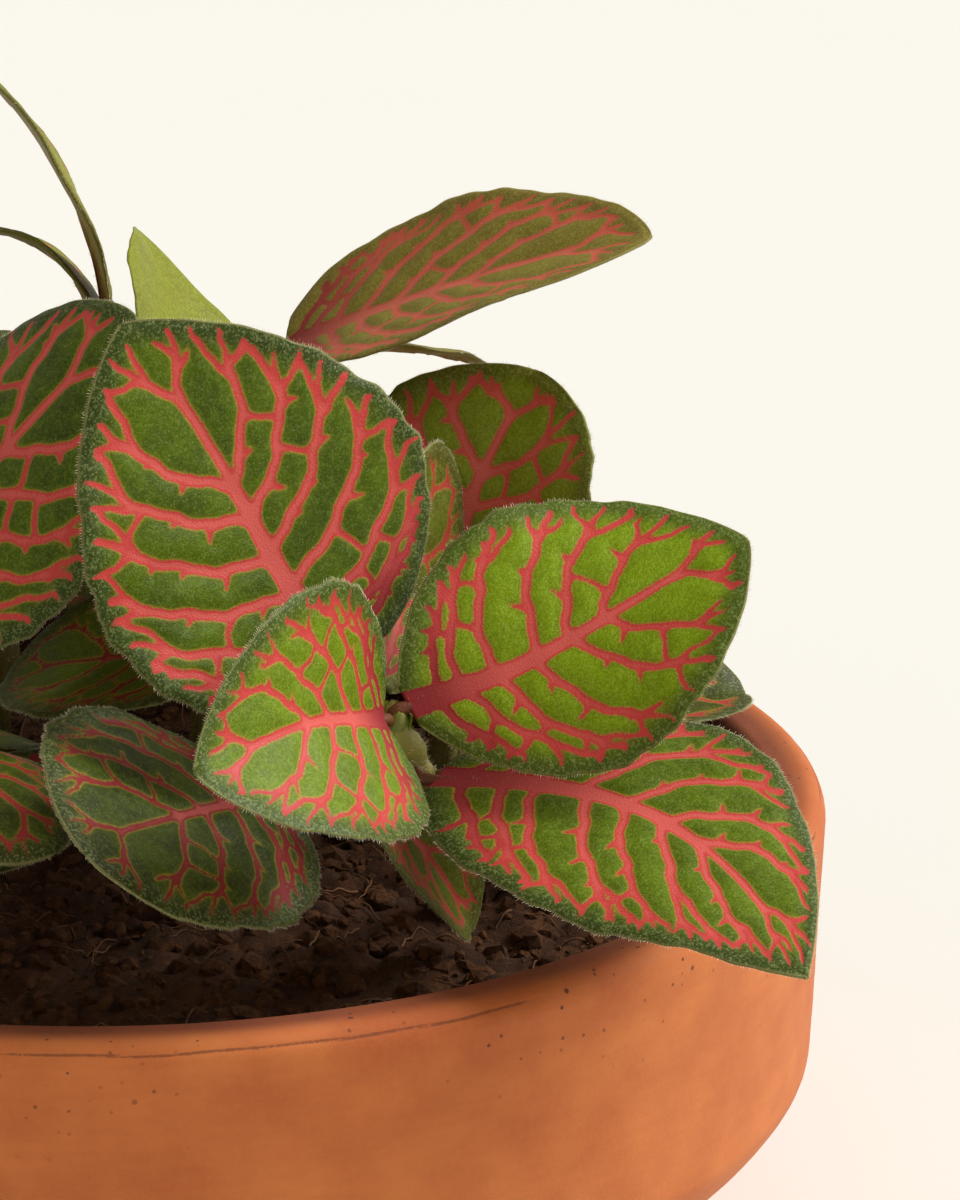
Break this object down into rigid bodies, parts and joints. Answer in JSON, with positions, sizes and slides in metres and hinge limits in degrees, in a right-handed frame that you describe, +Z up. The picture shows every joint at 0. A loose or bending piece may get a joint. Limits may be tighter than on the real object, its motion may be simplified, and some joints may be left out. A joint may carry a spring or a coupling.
{
  "type": "potted nerve plant",
  "caption": "Leafy nerve plant with round, net-veined leaves on hairy stems, growing in soil in a low round terracotta bowl.",
  "frame": {"origin": "centre of the pot's flat foot, on the surface it stands on", "axes": "+Z up along the pot's axis; -Y towards the side that is seen first"},
  "size_m": [0.1363, 0.1422, 0.1053],
  "materials": {
    "clay": "unglazed orange terracotta, matt, with fine specks and dirt marks",
    "compost": "damp dark brown peat and coir, crumbly and rough",
    "leaf": "soft green leaf with a net of crimson-pink veins, finely hairy, satin"
  },
  "bodies": {
    "root": {"pot": "clay", "soil": "compost", "shoot_front_right": "leaf", "shoot_right": "leaf", "shoot_middle": "leaf", "shoot_left": "leaf", "shoot_tall": "leaf", "shoot_tall_left": "leaf", "shoot_far_left": "leaf", "shoot_back_right": "leaf", "shoot_back_left": "leaf", "shoot_back": "leaf", "shoot_low_left": "leaf"}
  },
  "joints": []
}
